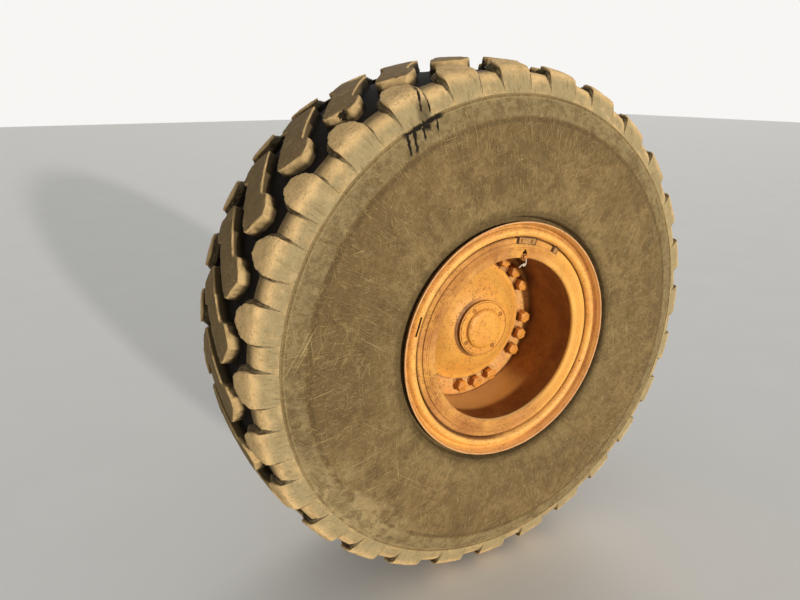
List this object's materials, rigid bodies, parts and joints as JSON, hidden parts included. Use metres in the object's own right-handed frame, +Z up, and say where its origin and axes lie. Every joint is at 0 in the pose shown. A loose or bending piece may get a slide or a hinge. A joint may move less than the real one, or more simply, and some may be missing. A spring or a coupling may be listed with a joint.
{
  "type": "dump truck wheel on its axle end",
  "caption": "Earthmover wheel: lugged tyre on a multi-piece rim, bolted to a planetary hub that turns on a flanged axle end with a disc brake.",
  "frame": {"origin": "centre of the face that bolts to the axle", "axes": "+Y along the wheel's axis, out of the bolting face towards the middle of the truck; -Y is the wheel's outer side, +Z is up"},
  "size_m": [1.7498, 0.7574, 1.7498],
  "materials": {
    "tyre": "dusty worn rubber",
    "rim_paint": "faded orange-yellow paint with rust",
    "hub_paint": "faded orange-yellow paint with rust specks",
    "axle_casting": "dirty painted casting",
    "bare_steel": "dull oily steel"
  },
  "bodies": {
    "axle_end": {"axle_arm": "axle_casting", "spindle": "bare_steel", "arm_bolts": "bare_steel", "brake_bracket": "axle_casting", "calipers": "axle_casting", "caliper_bolts": "bare_steel", "brake_pipe": "bare_steel", "hub_seal": "bare_steel"},
    "wheel": {"tyre": "tyre", "rim_base": "rim_paint", "outer_flange": "rim_paint", "inner_flange": "rim_paint", "seat_band": "rim_paint", "lock_ring": "rim_paint", "ring_keys": "rim_paint", "valve": "bare_steel", "wheel_disc": "rim_paint", "wheel_bolts": "hub_paint", "hub": "hub_paint", "planetary_cover": "hub_paint", "cover_cap": "hub_paint", "cap_screws": "bare_steel", "brake_disc": "bare_steel", "brake_disc_bolts": "bare_steel"}
  },
  "joints": [
    {"name": "wheel_spin", "type": "hinge", "parent": "axle_end", "child": "wheel", "pos_m": [0, -0.335, 0], "axis": [0, 1, 0], "continuous": true}
  ]
}
